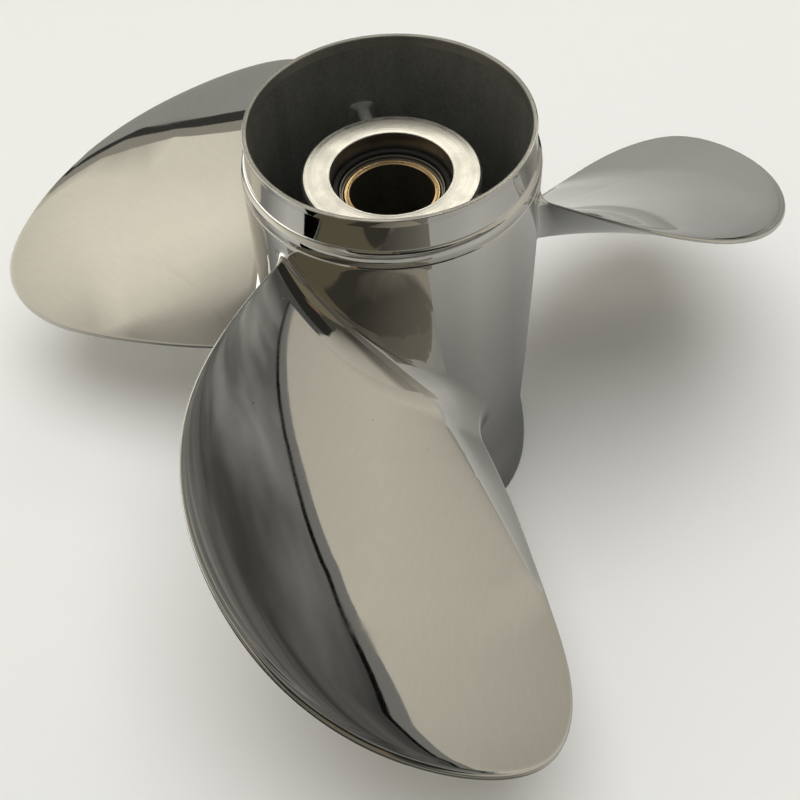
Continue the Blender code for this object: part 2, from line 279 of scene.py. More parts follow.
def blade_height(blade, radius, turn):
    """Height of the blade's middle surface: a screw, raked aft outwards and cambered."""
    out = radius - blade.root_radius
    fall = blade.rake * out - blade.rake_curve * out ** 2 - blade.rake_lift * out ** 3
    return blade.middle_height + blade_lead(blade, radius) * turn - fall + blade.camber * turn * turn


def blade_place(blade, angle, radius, turn, lift, along=0.0, across=0.0, outward=0.0):
    """The point that lies along, across and outward from a place on the middle surface.
    along follows the chord, across is square to it in the cylinder, outward is radial."""
    slope = blade_lead(blade, radius) + 2.0 * blade.camber * turn
    chord = np.hypot(slope, radius)
    out = radius - blade.root_radius
    fall = 2.0 * blade.rake_curve * out + 3.0 * blade.rake_lift * out ** 2 - blade.rake
    fall = fall + blade.pitch_growth * turn / (2.0 * math.pi)
    height = blade_height(blade, radius, turn) + lift + fall * outward
    height = height + (along * slope + across * radius) / chord
    around = turn + (along - across * slope / radius) / chord
    return radius + outward, angle - around, height


def outline_edge(blade):
    """The blade's edge, held back by its own half thickness so that a round rim fits it.
    Its radius falls as the square of u from the tip at u = 0 to the roots at u = -1 and 1,
    and its angle is a spline."""
    u = np.linspace(-1.0, 1.0, OUTLINE_STEPS)
    knots = np.linspace(-1.0, 1.0, len(EDGE_ANGLES))
    turn = np.radians(natural_spline(knots, EDGE_ANGLES, u))
    radius = blade.tip_radius - (blade.tip_radius - blade.root_radius) * u * u
    half = natural_spline(knots, EDGE_HALF_THICKNESS, u) * MM * blade.edge_scale
    chord = np.hypot(blade_lead(blade, radius) + 2.0 * blade.camber * turn, radius)
    run = np.gradient(turn, u) * chord
    rise = np.gradient(radius, u)
    size = np.hypot(run, rise)
    out_turn = rise / size
    out_radius = -run / size
    return u, turn - out_turn * half / chord, radius - out_radius * half, out_turn, out_radius, half


def above_barrel(blade, radius, turn):
    return radius - barrel_radius(blade_height(blade, radius, turn))


def nose_rise(blade, turn, radius, edge):
    """The forward face stands nose_depth higher behind the lower leading edge and rolls over
    to it in a quarter ellipse of nose_width; inwards it sinks back over nose_fade. The
    distance is measured square to the leading edge from its nearest point, with turn along
    the chord."""
    leading = edge[0] <= LEADING_END
    u, edge_turn, edge_radius, out_turn, out_radius = (values[leading] for values in edge)
    chord = np.hypot(blade_lead(blade, radius), radius)
    run = (turn[..., None] - edge_turn) * chord[..., None]
    rise = radius[..., None] - edge_radius
    nearest = np.argmin(run ** 2 + rise ** 2, axis=-1)
    run = np.take_along_axis(run, nearest[..., None], axis=-1)[..., 0]
    rise = np.take_along_axis(rise, nearest[..., None], axis=-1)[..., 0]
    out_turn, out_radius = out_turn[nearest], out_radius[nearest]
    distance = -(run * out_turn + rise * out_radius)
    length_of_u = np.hypot(np.gradient(edge_radius, u), np.gradient(edge_turn, u) * edge_radius)
    place = u[nearest] + (rise * out_turn - run * out_radius) / length_of_u[nearest]
    size = smooth_step((place - NOSE_START) / NOSE_GROWTH) * smooth_step((NOSE_END - place) / NOSE_DECLINE)
    rolled = 1.0 - fillet_share(distance / blade.nose_width)
    return blade.nose_depth * size * rolled * np.exp(-(distance / blade.nose_fade) ** 2)


def fillet_share(x):
    """How far a quarter-round fillet stands out at x fillet radii above the barrel."""
    x = np.clip(x, 0.0, 1.0)
    return 1.0 - np.sqrt(np.clip(2.0 * x - x * x, 0.0, 1.0))


def cup_lift(blade, from_edge, t, s):
    """The trailing edge bends aft over the cup's width, which runs out towards the tip. The
    bend is a soft maximum of two slopes, and the face before it is raised as the cube of s
    so that the edge itself stays on the outline."""
    left = np.clip(1.0 - t / blade.cup_run, 0.0, 1.0)
    width = blade.cup_width * left
    soft = CUP_FIRMNESS + blade.cup_softness * left

    def drop(distance):
        return blade.cup_slope * soft * np.logaddexp(0.0, (width - distance) / soft)

    present = smooth_step((1.0 - t / blade.cup_run) / CUP_DECLINE)
    return present * (drop(0.0) * s ** 3 - drop(from_edge))


def border(grid):
    """A face's values up its leading edge, along the tip and down its trailing edge."""
    return np.concatenate([grid[:, 0], grid[-1, 1:-1], grid[::-1, -1]])


def blade_surface(blade, angle):
    """Points of the front face, the back face and the rim of one blade.

    Each face is a Coons patch: a blend of four border curves, the root on the barrel, the
    two edges and the tip. The rim between the faces is a half circle carried round the edge.
    """
    edge = outline_edge(blade)
    u, edge_turn, edge_radius, _, _, half = edge
    gap = above_barrel(blade, edge_radius, edge_turn)
    lead = np.flatnonzero(u < 0.0)
    trail = np.flatnonzero(u >= 0.0)[::-1]
    lead_root, trail_root = (np.interp(0.0, gap[side], u[side]) for side in (lead, trail))

    def on_edge(values, place):
        return np.interp(place, u, values)

    bend = np.linspace(0.0, 0.5 * math.pi, FILLET_ROWS)
    near = FILLET_REACH * blade.fillet * (1.0 - np.cos(bend))
    span = on_edge(edge_radius, -CORNER) - on_edge(edge_radius, lead_root)
    far = near[-1] + (span - near[-1]) * np.linspace(0.0, 1.0, BLADE_ROWS - FILLET_ROWS + 1)[1:]
    t = np.concatenate([near, far]) / span
    s = 0.5 - 0.5 * np.cos(math.pi * np.linspace(COLUMN_EASE, 1.0 - COLUMN_EASE, BLADE_COLUMNS))
    s = (s - s[0]) / (s[-1] - s[0])

    def along_side(side, root, corner):
        """u at each share t of the way in radius from the root to the tip's corner."""
        low, high = on_edge(edge_radius, root), on_edge(edge_radius, corner)
        return np.interp(low + t * (high - low), edge_radius[side], u[side])

    def along_root(values):
        return on_edge(values, lead_root) * (1.0 - s) + on_edge(values, trail_root) * s

    lead_u = along_side(lead, lead_root, -CORNER)
    trail_u = along_side(trail, trail_root, CORNER)
    tip_u = CORNER * (2.0 * s - 1.0)
    root_turn = along_root(edge_turn)
    root_radius = np.full_like(s, blade.root_radius)
    for _ in range(ROOT_PASSES):
        root_radius = barrel_radius(blade_height(blade, root_radius, root_turn))

    t_, s_ = t[:, None], s[None, :]

    def coons(root, values):
        lead, trail, tip = (on_edge(values, place) for place in (lead_u, trail_u, tip_u))
        sides = (1.0 - t_) * root + t_ * tip + (1.0 - s_) * lead[:, None] + s_ * trail[:, None]
        corners = (1.0 - t_) * ((1.0 - s_) * root[0] + s_ * root[-1])
        corners = corners + t_ * ((1.0 - s_) * tip[0] + s_ * tip[-1])
        return sides - corners

    turn = coons(root_turn, edge_turn)
    radius = coons(root_radius, edge_radius)
    rim_half = coons(along_root(half), half)
    chord = (turn[:, :1] - turn[:, -1:]) * np.hypot(blade_lead(blade, radius), radius)
    lift = cup_lift(blade, (1.0 - s_) * chord, t_, s_)
    belly = (1.0 - blade.thinning * t_) * (1.0 - t_ ** 4) * np.sin(math.pi * s_)
    clear = above_barrel(blade, radius, turn)
    clear[0] = 0.0
    ends = LEAD_FILLET + (TRAIL_FILLET - LEAD_FILLET) * s_
    nose = nose_rise(blade, turn, radius, [values[::NOSE_SKIP] for values in edge[:5]])

    def seated(reach, around, height, clear):
        """Keeps the height above the barrel of a point that the fillet moved along it."""
        hold = np.exp(-clear / (FILLET_HOLD * blade.fillet))
        return axis_points(reach + (barrel_radius(height) + clear - reach) * hold, around, height)

    def face(side, bulge, middle, rise):
        rounding = blade.fillet * (ends + (middle - ends) * np.sin(math.pi * s_))
        across = side * (rim_half + bulge * belly + rise + rounding * fillet_share(clear / rounding))
        return seated(*blade_place(blade, angle, radius, turn, lift, across=across), clear)

    front = face(1.0, blade.front_bulge, FRONT_FILLET, nose)
    back = face(-1.0, blade.back_bulge, BACK_FILLET, 0.0)

    rim_u = np.concatenate([lead_u, tip_u[1:-1], trail_u[::-1]])
    rim_clear = border(clear)[:, None]
    rim_turn, rim_radius, way_turn, way_radius, rim_size = (
        on_edge(values, rim_u)[:, None] for values in edge[1:])
    roll = np.linspace(0.5 * math.pi, -0.5 * math.pi, RIM_STEPS + 1)[None, 1:-1]
    rounding = blade.fillet * np.where(rim_u < 0.0, LEAD_FILLET, TRAIL_FILLET)[:, None]
    extra = rounding * fillet_share(rim_clear / rounding)
    outward = way_radius * rim_size * np.cos(roll) * smooth_step(rim_clear / RIM_EASE)
    places = blade_place(
        blade, angle, rim_radius, rim_turn, 0.0,
        along=(way_turn * rim_size + np.sign(way_turn) * extra) * np.cos(roll),
        across=(rim_size + extra) * np.sin(roll),
        outward=outward)
    return front, back, seated(*places, rim_clear + outward)


def sunk_lip(loop, next_loop, reach, depth):
    """The root's border carried on along the barrel by reach, square to the border, and let
    depth into the barrel, so that the fillet runs out on it without a step."""
    way = loop - next_loop
    out = loop[:, :2] / np.hypot(loop[:, 0], loop[:, 1])[:, None]
    way[:, :2] -= out * np.sum(way[:, :2] * out, axis=1)[:, None]
    lip = loop + way / np.linalg.norm(way, axis=1)[:, None] * reach
    wanted = barrel_radius(lip[:, 2]) - depth
    lip[:, :2] *= (wanted / np.hypot(lip[:, 0], lip[:, 1]))[:, None]
    return lip


def blade_mesh(blade, angle):
    """Joins the two faces, the rim between them, the sunk lips and the hidden root into one
    closed surface with shared points."""
    front, back, rim = blade_surface(blade, angle)
    rows, columns, side = *front.shape[:2], rim.shape[1]
    front_index = np.arange(rows * columns).reshape(rows, columns)
    back_index = front_index + rows * columns
    rim_index = np.arange(len(rim) * side).reshape(-1, side) + 2 * rows * columns
    points = np.concatenate([part.reshape(-1, 3) for part in (front, back, rim)])

    def root_loop(row):
        """The corners round the blade at a row of its faces."""
        return np.concatenate([
            front_index[row], rim_index[-1 - row], back_index[row, ::-1], rim_index[row, ::-1]])

    loop, inner = root_loop(0), root_loop(1)
    lips = [sunk_lip(points[loop], points[inner], reach * MM, depth * MM) for reach, depth in ROOT_LIPS]
    sunk = len(points) + np.arange(len(lips) * len(loop)).reshape(len(lips), -1)
    points = np.concatenate([points, *lips])
    rings = np.vstack([loop, sunk])
    strip = np.column_stack([border(front_index), rim_index, border(back_index)])
    front_lip, trail_lip, back_lip, lead_lip = np.split(rings[-1], np.cumsum([columns, side, columns]))
    faces = np.concatenate([
        quads(front_index)[:, ::-1], quads(back_index), quads(strip),
        quads(np.column_stack([rings, rings[:, 0]])), quads(np.stack([front_lip, back_lip[::-1]]))])
    caps = ((front_lip[-1], *trail_lip, back_lip[0]), (back_lip[-1], *lead_lip, front_lip[0]))
    return points, faces.tolist() + [[int(i) for i in cap] for cap in caps]


# The ribs. They reach a little into the inner hub and the barrel's wall, and the rounding
# of their ends is a share of their thickness.

RIB_IN_HUB = 0.2 * MM
RIB_IN_WALL = 0.3 * MM
RIB_ROUNDING = 0.42


def rib_mesh(barrel, hub, angle, steps=28, round_steps=8):
    """A plate between the inner hub and the barrel whose half width w grows by a quarter
    round at each wall. Its section at a distance is a tall rectangle with round ends: the
    same outline, w wide, is carried outwards along the rib."""
    inner = hub.radius - RIB_IN_HUB
    outer = barrel_bore(barrel, hub.rib_top) + RIB_IN_WALL
    distance = inner + (outer - inner) * (0.5 - 0.5 * np.cos(np.linspace(0.0, math.pi, steps)))[:, None]
    near_hub = hub.rib_fillet * fillet_share((distance - inner) / hub.rib_fillet)
    near_wall = hub.rib_flare * fillet_share((outer - distance) / hub.rib_flare)
    turn = np.linspace(0.0, math.pi, round_steps)
    across = (0.5 * hub.rib_thickness + near_hub + near_wall) * np.append(np.cos(turn), -np.cos(turn))
    corner = RIB_ROUNDING * hub.rib_thickness
    middle = np.repeat((hub.rib_top - corner, hub.rib_bottom + corner), round_steps)
    height = middle + corner * np.append(np.sin(turn), -np.sin(turn))
    c, s = math.cos(angle), math.sin(angle)
    places = np.broadcast_arrays(distance * c - across * s, distance * s + across * c, height)
    points = np.stack(places, axis=-1).reshape(-1, 3)
    faces = grid_faces(steps, 2 * round_steps, 0, 1).tolist()
    ring = list(range(2 * round_steps))
    last = (steps - 1) * 2 * round_steps
    faces.append(ring[::-1])
    faces.append([last + i for i in ring])
    return points, faces


# Sizes and colours that a user would change

def length(name, description, default, low=0.0, high=1.0):
    return bpy.props.FloatProperty(
        name=name, description=description, default=default, min=low, max=high,
        precision=4, unit="LENGTH")


def plain(name, description, default, unit="NONE"):
    return bpy.props.FloatProperty(name=name, description=description, default=default, unit=unit)


def degrees(name, description, default):
    return bpy.props.FloatProperty(
        name=name, description=description, default=math.radians(default), subtype="ANGLE")


def colour(name, description, default):
    return bpy.props.FloatVectorProperty(
        name=name, description=description, default=default, size=3, min=0.0, max=1.0, subtype="COLOR")


class PROPELLER_PG_barrel(bpy.types.PropertyGroup):
    height: length("Height", "From the flared aft rim to the front rim", CAD_HIGH.z)
    rim_radius: length("Rim radius", "Outside radius of the front rim", 0.0481)
    rim_wall: length("Rim wall", "Wall thickness at the front rim", 0.0015)
    collar_length: length("Collar length", "From the front rim to the cove", 0.0129)
    ridge_radius: length("Ridge radius", "Radius of the ridge below the collar", 0.0503)
    wall: length("Wall", "Wall thickness of the barrel", 0.0030)
    segments: bpy.props.IntProperty(
        name="Segments", description="Steps round the shaft axis", default=240, min=24, max=400)


class PROPELLER_PG_blade(bpy.types.PropertyGroup):
    tip_radius: length("Tip radius", "From the shaft axis to the blade's tip", 0.1746)
    root_radius: length("Root radius", "Where the blade's outline starts, inside the barrel's wall", 0.0464)
    pitch: length("Pitch", "Travel in one turn at the pitch radius", 0.4064)
    pitch_radius: length("Pitch radius", "Where the pitch is measured", 0.0957)
    pitch_growth: plain("Pitch growth", "Gain of pitch for each metre of radius", 0.313)
    middle_height: length("Middle height", "Height of the blade's middle line at the root", 0.0953)
    rake: plain("Rake", "Fall towards the aft end for each metre of radius", 0.2307)
    rake_curve: plain("Rake curve", "How much the rake eases off outwards, each metre", -0.025)
    rake_lift: plain("Rake lift", "How much it eases off near the tip, each metre squared", 6.85)
    camber: length("Camber", "Rise of the blade's edges for a radian of turn squared", 0.0168)
    front_bulge: length("Front bulge", "How far the forward face swells at the root", 0.0065)
    back_bulge: length("Back bulge", "How far the aft face swells at the root", 0.0015)
    thinning: plain("Thinning", "Share of that thickness lost at the tip", 0.55)
    edge_scale: plain("Edge scale", "Scale of the edge's roundness", 1.0)
    nose_width: length("Nose width", "Width of the roll-over along the lower leading edge", 0.0080)
    nose_depth: length("Nose depth", "Depth of that roll-over", 0.0012)
    nose_fade: length("Nose fade", "Distance over which the face sinks back behind it", 0.0500)
    fillet: length("Fillet", "Radius between the blade and the barrel", 0.0075)
    cup_width: length("Cup width", "Width at the root of the strip bent aft along the trailing edge", 0.0258)
    cup_slope: plain("Cup slope", "Slope of that strip against the face", 0.36)
    cup_run: plain("Cup run", "Share of the span at which the strip has run out", 0.741)
    cup_softness: length("Cup softness", "How gently the strip bends away at the root", 0.0035)
    first_angle: degrees("First angle", "Turn of the front blade round the shaft axis", -101.74)


class PROPELLER_PG_hub(bpy.types.PropertyGroup):
    face_height: length("Face height", "Height of the inner hub's turned front face", 0.1465)
    aft_height: length("Aft height", "Height of the inner hub's aft face", 0.0400)
    radius: length("Radius", "Outside radius of the inner hub", 0.0307)
    bore: length("Bore", "Radius of the inner hub's bore", 0.0209)
    chamfer: length("Chamfer", "Chamfer at the face's outer edge", 0.0007)
    core_radius: length("Core radius", "Outside radius of the bush core", 0.0183)
    sleeve_radius: length("Sleeve radius", "Outside radius of the bronze sleeve", 0.0166)
    sleeve_bore: length("Sleeve bore", "Radius of the bronze sleeve's bore", 0.0145)
    rib_angle: degrees("Rib angle", "Turn of the first rib round the shaft axis", 98.5)
    rib_thickness: length("Rib thickness", "Thickness of a rib between its fillets", 0.0050)
    rib_top: length("Rib top", "Height of the ribs' front ends", 0.1417)
    rib_bottom: length("Rib bottom", "Height of the ribs' aft ends", 0.0460)
    rib_fillet: length("Rib fillet", "Radius where a rib meets the inner hub", 0.0020)
    rib_flare: length("Rib flare", "Radius where a rib meets the barrel", 0.0048)


class PROPELLER_PG_finish(bpy.types.PropertyGroup):
    polish: colour("Polished steel", "Colour of the polished stainless steel", (0.60, 0.585, 0.555))
    turned: colour("Turned steel", "Colour of the freshly turned faces", (0.74, 0.73, 0.70))
    lip: colour("Lip", "Colour of the front rim's worn lip", (0.42, 0.41, 0.38))
    cast: colour("Cast wall", "Colour of the blasted wall inside the barrel", (0.182, 0.182, 0.163))
    stained: colour("Stained steel", "Colour of the inner hub's bore above the rubber", (0.46, 0.45, 0.42))
    greasy: colour("Greasy steel", "Colour of the bush's core ring", (0.24, 0.225, 0.19))
    bronze: colour("Bronze", "Colour of the shaft sleeve's turned end", (0.70, 0.50, 0.27))
    bore: colour("Bore", "Colour of the shaft sleeve's greasy bore", (0.085, 0.078, 0.055))
    rubber: colour("Rubber", "Colour of the rubber bush", (0.012, 0.012, 0.012))


class PROPELLER_PG_stage(bpy.types.PropertyGroup):
    lens: plain("Lens", "Focal length on a 36 mm sensor, in millimetres", 55.8, "CAMERA")
    distance: length("Distance", "Camera to the shaft axis at the front rim", 0.4597)
    elevation: degrees("Elevation", "Camera above the horizon", 46.38)
    roll: degrees("Roll", "Camera turned round its line of sight", -5.393)
    aside: length("Aside", "Camera moved along X", -0.01998, -1.0, 1.0)
    above: length("Above", "Height of the point that the distance is measured from", 0.09106, -1.0, 1.0)
    shift_x: plain("Shift across", "Lens moved across, as a share of the picture's width", 0.0712)
    shift_y: plain("Shift up", "Lens moved up, as a share of the picture's width", -0.1372)
    power: plain("Lamp power", "Power of the soft lamp overhead, in watts", 38.0, "POWER")


# Nodes that the finishes are made of

OFF_ORIGIN = (0.317, 0.531, 0.243)


def add_node(tree, kind, inputs=(), **settings):
    """Adds a node and gives its outputs. inputs has a value, or the output that feeds it, for
    each of the node's inputs that is set."""
    node = tree.nodes.new(f"ShaderNode{kind}")
    for name, value in settings.items():
        setattr(node, name, value)
    for socket, value in dict(inputs).items():
        if isinstance(value, bpy.types.NodeSocket):
            tree.links.new(value, node.inputs[socket])
        else:
            node.inputs[socket].default_value = value
    return node.outputs


def noise(tree, place, scale, detail=2.0, distortion=0.0):
    """The noise texture's value. The place is moved off the origin, where the texture's
    octaves line up."""
    moved = add_node(tree, "VectorMath", {0: place, 1: OFF_ORIGIN})[0]
    return add_node(tree, "TexNoise", {
        "Vector": moved, "Scale": scale, "Detail": detail, "Distortion": distortion})["Fac"]


def between(tree, value, low, high, start=0.0, end=1.0):
    """Carries low..high over to start..end and stops there."""
    return add_node(tree, "MapRange", {
        "Value": value, "From Min": low, "From Max": high, "To Min": start, "To Max": end})["Result"]


def calculate(tree, operation, first, *others):
    """The values joined by the operation, one after the other."""
    for other in others:
        first = add_node(tree, "Math", {0: first, 1: other}, operation=operation)[0]
    return first


def stretched(tree, place, scale):
    """The place with each axis scaled, for marks that are long one way."""
    return add_node(tree, "Mapping", {"Vector": place, "Scale": scale})[0]


def shaft_radius(tree, place):
    """The place's distance from the shaft axis and its height, for rings round the axis."""
    split = add_node(tree, "SeparateXYZ", {0: place})
    squares = [calculate(tree, "MULTIPLY", split[axis], split[axis]) for axis in "XY"]
    distance = calculate(tree, "POWER", calculate(tree, "ADD", *squares), 0.5)
    return add_node(tree, "CombineXYZ", {"X": distance, "Z": split["Z"]})[0]


def shared_group(wire, values):
    """A shared finish, built once: a node group with a tint and the values' names going in,
    and a colour, a roughness and a height coming out. The colour is the tint times the marks
    that wire makes."""
    tree = bpy.data.node_groups.get(wire.__name__)
    if tree:
        return tree
    tree = bpy.data.node_groups.new(wire.__name__, "ShaderNodeTree")
    sockets = [("Tint", "INPUT", "Color"), *((label, "INPUT", "Float") for label in values)]
    sockets += [("Color", "OUTPUT", "Color"), ("Roughness", "OUTPUT", "Float"), ("Height", "OUTPUT", "Float")]
    for label, way, kind in sockets:
        tree.interface.new_socket(name=label, in_out=way, socket_type=f"NodeSocket{kind}")
    inputs = tree.nodes.new("NodeGroupInput").outputs
    outputs = tree.nodes.new("NodeGroupOutput").inputs
    marks, rough, height = wire(tree, inputs, add_node(tree, "TexCoord")["Object"])
    tinted = add_node(tree, "VectorMath", {0: inputs["Tint"], "Scale": marks}, operation="SCALE")[0]
    for label, output in (("Color", tinted), ("Roughness", rough), ("Height", height)):
        tree.links.new(output, outputs[label])
    return tree


# Shared finishes. Each gives the share of the tint that is left, the roughness and the height.

def hand_polish(tree, inputs, place):
    """Polished by hand on a wheel: slow waves, fine level lines, faint dull smudges and a few
    dark specks."""
    waves = noise(tree, place, inputs["Wave Scale"])
    lines = noise(tree, stretched(tree, place, (0.10, 0.10, 1.0)), inputs["Line Scale"], 3.0)
    smudge = between(tree, noise(tree, place, 16.0, 6.0, 1.2), 0.52, 0.72)
    cells = add_node(tree, "TexVoronoi", {"Vector": place, "Scale": 240.0})
    dots = between(tree, cells["Distance"], 0.05, 0.10, 1.0, 0.0)
    specks = calculate(tree, "MULTIPLY", dots, between(tree, noise(tree, place, 70.0), 0.66, 0.70))
    dull = calculate(tree, "MULTIPLY", smudge, inputs["Smudge"])
    fine = calculate(tree, "MULTIPLY", lines, inputs["Spread"])
    pits = calculate(tree, "MULTIPLY", specks, 0.4)
    rough = calculate(tree, "ADD", dull, fine, inputs["Roughness"], pits)
    marks = calculate(tree, "MULTIPLY", between(tree, lines, 0.35, 0.65, 0.985, 1.01),
                      between(tree, smudge, 0.0, 1.0, 1.0, 0.97), between(tree, specks, 0.0, 1.0, 1.0, 0.25))
    return marks, rough, waves


def turned_rings(tree, inputs, place):
    """Turned on a lathe: rings round the shaft axis, uneven from one to the next."""
    rings = noise(tree, shaft_radius(tree, place), inputs["Ring Scale"], 3.0)
    wear = between(tree, noise(tree, place, 120.0, 5.0), 0.45, 0.75)
    worn = calculate(tree, "MULTIPLY", wear, inputs["Wear"])
    rough = calculate(tree, "ADD", inputs["Roughness"], worn, between(tree, rings, 0.3, 0.7, -0.05, 0.05))
    marks = calculate(tree, "SUBTRACT", between(tree, rings, 0.3, 0.7, 0.93, 1.03), worn)
    return marks, rough, rings


def cast_grain(tree, inputs, place):
    """A cast and blasted wall, or moulded rubber: grain, blotches and runs down the wall."""
    grain = noise(tree, place, inputs["Grain Scale"], 3.0)
    blotch = between(tree, noise(tree, place, 45.0, 5.0, 0.6), 0.35, 0.65)
    runs = between(tree, noise(tree, stretched(tree, place, (1.0, 1.0, 0.12)), 130.0, 4.0), 0.4, 0.7)
    dirt = calculate(tree, "MULTIPLY", calculate(tree, "ADD", blotch, runs), inputs["Stain"])
    marks = calculate(tree, "SUBTRACT", between(tree, grain, 0.3, 0.7, 0.9, 1.15), dirt)
    rough = calculate(tree, "ADD", inputs["Roughness"], between(tree, blotch, 0.0, 1.0, -0.06, 0.08))
    return marks, rough, grain


# Materials

def finished(name, tint, metallic, wire, strength, depth, values):
    """A Principled material whose tint, roughness and bump come from a shared finish. tint
    names the colour setting, and strength and depth are the bump's."""
    material = bpy.data.materials.get(name)
    if material:
        return material
    material = bpy.data.materials.new(name)
    material.use_nodes = True
    tree = material.node_tree
    tinted = (*getattr(bpy.context.scene.propeller_finish, tint), 1.0)
    marks = add_node(tree, "Group", {"Tint": tinted, **values}, node_tree=shared_group(wire, values))
    bump = add_node(tree, "Bump", {"Strength": strength, "Distance": depth, "Height": marks["Height"]})
    shader = tree.nodes["Principled BSDF"]
    shader.inputs["Metallic"].default_value = metallic
    tree.links.new(marks["Color"], shader.inputs["Base Color"])
    tree.links.new(marks["Roughness"], shader.inputs["Roughness"])
    tree.links.new(bump["Normal"], shader.inputs["Normal"])
    return material


def polished_steel():
    return finished("polished_steel_finish", "polish", 1.0, hand_polish, 0.05, 0.6 * MM, {
        "Wave Scale": 30.0, "Line Scale": 1500.0, "Roughness": 0.015, "Spread": 0.025, "Smudge": 0.05})


def dull_lip():
    """The front rim's lip, rubbed dull by handling."""
    return finished("dull_lip_finish", "lip", 0.9, cast_grain, 0.3, 0.1 * MM, {
        "Grain Scale": 1500.0, "Roughness": 0.42, "Stain": 0.12})


def cast_wall():
    return finished("cast_wall_finish", "cast", 0.3, cast_grain, 0.4, 0.4 * MM, {
        "Grain Scale": 700.0, "Roughness": 0.50, "Stain": 0.16})


def turned_steel():
    return finished("turned_steel_finish", "turned", 1.0, turned_rings, 0.25, 0.15 * MM, {
        "Ring Scale": 900.0, "Roughness": 0.29, "Wear": 0.10})


def stained_steel():
    """The inner hub's bore above the rubber, stained and no longer bright."""
    return finished("stained_steel_finish", "stained", 1.0, turned_rings, 0.25, 0.1 * MM, {
        "Ring Scale": 700.0, "Roughness": 0.36, "Wear": 0.12})


def greasy_steel():
    """The bush's core ring, turned steel under old grease."""
    return finished("greasy_steel_finish", "greasy", 0.9, turned_rings, 0.25, 0.1 * MM, {
        "Ring Scale": 900.0, "Roughness": 0.34, "Wear": 0.12})


def bright_bronze():
    return finished("bright_bronze_finish", "bronze", 1.0, turned_rings, 0.25, 0.1 * MM, {
        "Ring Scale": 1200.0, "Roughness": 0.24, "Wear": 0.12})


def dark_bore():
    """The sleeve's bore, coloured very dark."""
    return finished("dark_bore_finish", "bore", 0.6, cast_grain, 0.2, 0.2 * MM, {
        "Grain Scale": 500.0, "Roughness": 0.36, "Stain": 0.15})


def moulded_rubber():
    return finished("moulded_rubber_finish", "rubber", 0.0, cast_grain, 0.3, 0.2 * MM, {
        "Grain Scale": 900.0, "Roughness": 0.60, "Stain": 0.20})


# Rings of the turned pieces that have a material of their own, counted along the outline

LIP_RINGS = 7
HUB_BORE_RING = 29
SLEEVE_BORE_FIRST = 12
SLEEVE_BORE_LAST = 20


def dress_rings(piece, segments, *dressings):
    """Gives rings of a turned piece other materials: each dressing is a material with the
    first and the last ring that it covers."""
    ring = np.arange(len(piece.data.polygons)) // segments
    index = np.zeros(len(ring), np.int32)
    for number, (material, first, last) in enumerate(dressings, 1):
        piece.data.materials.append(material)
        index[(ring >= first) & (ring <= last)] = number
    piece.data.polygons.foreach_set("material_index", index)


# Operators, one for each piece or group of like pieces

class PROPELLER_OT_barrel(bpy.types.Operator):
    """Build the barrel: rim, collar, ridge, taper and flared aft end"""
    bl_idname = "propeller.barrel"
    bl_label = "Barrel"

    def execute(self, context):
        sizes = context.scene.propeller_barrel
        outline, inside = barrel_outline(sizes)
        piece = turned("barrel_shell", outline, sizes.segments, polished_steel(), "barrel", "polished_steel")
        last = len(outline) - 1
        lip = last - LIP_RINGS + 1
        dress_rings(piece, sizes.segments, (cast_wall(), inside, lip - 1), (dull_lip(), lip, last))
        return {"FINISHED"}


class PROPELLER_OT_blades(bpy.types.Operator):
    """Build the three blades with their fillets and rounded edges"""
    bl_idname = "propeller.blades"
    bl_label = "Blades"

    def execute(self, context):
        blade = context.scene.propeller_blade
        for number in range(BLADE_COUNT):
            points, faces = blade_mesh(blade, blade.first_angle + number * BLADE_STEP)
            name = f"blade_{number + 1}"
            add_piece(f"{name}_form", points, faces, polished_steel(), name)
        return {"FINISHED"}


def hub_outline(hub):
    """The inner hub's tube, chamfered outside at both ends."""
    top, bottom = hub.face_height, hub.aft_height
    return [
        (hub.radius - hub.chamfer, top, 0.2 * MM),
        (hub.radius, top - hub.chamfer, 0.3 * MM),
        (hub.radius, bottom + hub.chamfer, 0.3 * MM),
        (hub.radius - hub.chamfer, bottom, 0.2 * MM),
        (hub.bore, bottom, 0.3 * MM),
        (hub.bore, top, 0.3 * MM),
    ]


def core_outline(hub):
    """The bush core's ring, with a step down to the sleeve."""
    high, low = hub.face_height - 7.7 * MM, hub.face_height - 9.2 * MM
    bottom = hub.aft_height + 5.0 * MM
    step = hub.core_radius - 0.7 * MM
    inside = hub.sleeve_radius + FIT_GAP
    return [
        (hub.core_radius, high, 0.3 * MM),
        (hub.core_radius, bottom, 0.3 * MM),
        (inside, bottom, 0.2 * MM),
        (inside, low, 0.2 * MM),
        (step, low, 0.2 * MM),
        (step, high, 0.2 * MM),
    ]


def bush_outline(hub):
    """The rubber bush between the inner hub's bore and the core."""
    top, bottom = hub.face_height - 6.5 * MM, hub.aft_height + 6.0 * MM
    outside, inside = hub.bore - FIT_GAP, hub.core_radius + FIT_GAP
    return [(radius, height, 0.5 * MM) for radius, height in (
        (outside, top), (outside, bottom), (inside, bottom), (inside, top))]


def sleeve_outline(hub):
    """The shaft sleeve, chamfered at its bore, with a fine groove turned in its end."""
    top, bottom = hub.face_height - 8.7 * MM, hub.aft_height + 4.0 * MM
    groove = 0.5 * (hub.sleeve_radius + hub.sleeve_bore)
    return [
        (hub.sleeve_radius, top, 0.25 * MM),
        (hub.sleeve_radius, bottom, 0.25 * MM),
        (hub.sleeve_bore, bottom, 0.25 * MM),
        (hub.sleeve_bore, top - 0.4 * MM, 0.2 * MM),
        (hub.sleeve_bore + 0.4 * MM, top, 0.15 * MM),
        (groove - 0.15 * MM, top, 0.0),
        (groove, top - 0.15 * MM, 0.0),
        (groove + 0.15 * MM, top, 0.0),
    ]


HUB_SEGMENTS = 180
INSERT_SEGMENTS = 144


